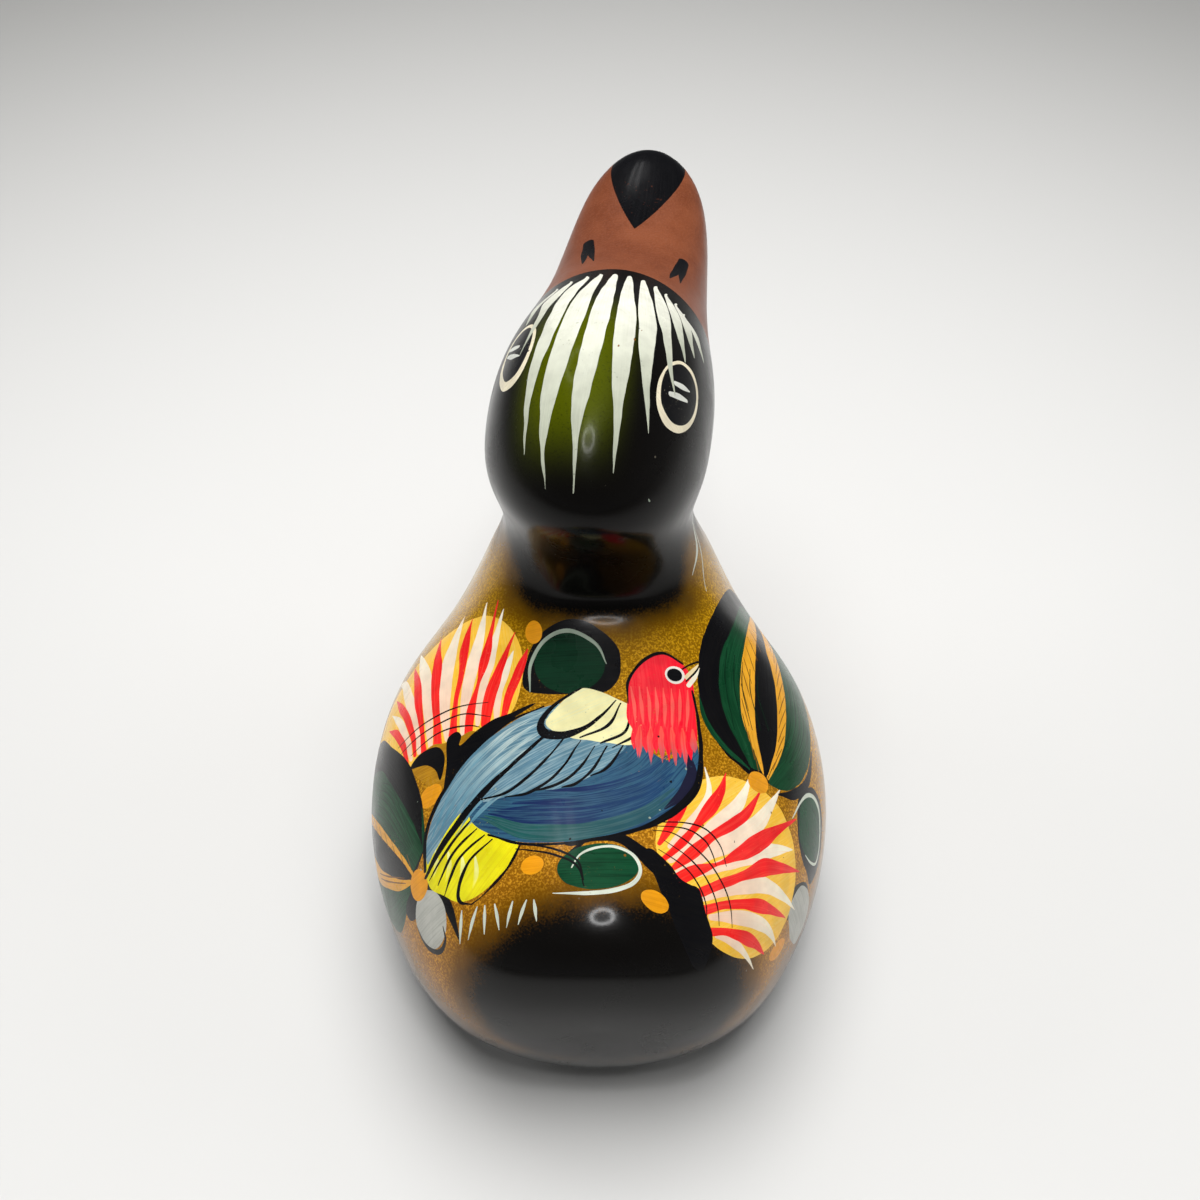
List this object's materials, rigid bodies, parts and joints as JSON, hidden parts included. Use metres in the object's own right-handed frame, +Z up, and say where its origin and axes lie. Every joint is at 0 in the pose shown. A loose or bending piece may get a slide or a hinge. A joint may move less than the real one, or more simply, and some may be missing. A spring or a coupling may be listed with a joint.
{
  "type": "duck figurine",
  "caption": "Closed clay figurine of a sitting duck with raised head and bill, standing on its flattened belly, painted with birds, fan flowers and leaves.",
  "frame": {"origin": "on the floor, on the flat of the belly, under the middle of the body between tail and breast", "axes": "+Z up; the duck looks along -Y with its head turned a little towards -X, its right; +Y is its tail"},
  "size_m": [0.1238, 0.2187, 0.1589],
  "materials": {
    "painted_clay": null
  },
  "bodies": {
    "root": {"duck_figurine": "painted_clay"}
  },
  "joints": []
}
